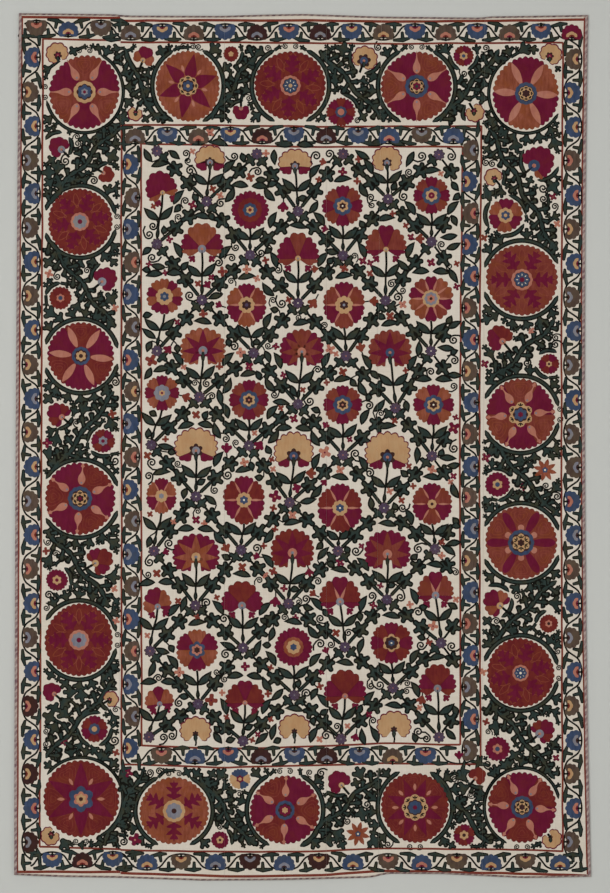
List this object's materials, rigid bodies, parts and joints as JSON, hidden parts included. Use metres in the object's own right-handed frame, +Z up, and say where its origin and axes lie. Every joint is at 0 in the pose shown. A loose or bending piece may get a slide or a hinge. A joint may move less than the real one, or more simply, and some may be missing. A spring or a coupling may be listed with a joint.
{
  "type": "embroidered wall hanging",
  "caption": "Large cotton wall hanging of joined loom widths, silk-embroidered with a flower lattice field, rosette border and guard bands, bound at the edges and hung by its top edge",
  "frame": {"origin": "middle of the top edge, where the hanging is held up", "axes": "+Z up, +X to the viewer's right, the front faces -Y"},
  "size_m": [1.615, 0.0133, 2.4291],
  "materials": {
    "cotton": "matte cream hand-woven cotton with silk embroidery",
    "binding": "matte narrow woven tape in purple-brown and cream"
  },
  "bodies": {
    "root": {"panel_1": "cotton", "panel_2": "cotton", "panel_3": "cotton", "panel_4": "cotton", "panel_5": "cotton", "panel_6": "cotton", "binding_left": "binding", "binding_right": "binding", "binding_top": "binding", "binding_bottom": "binding"}
  },
  "joints": []
}
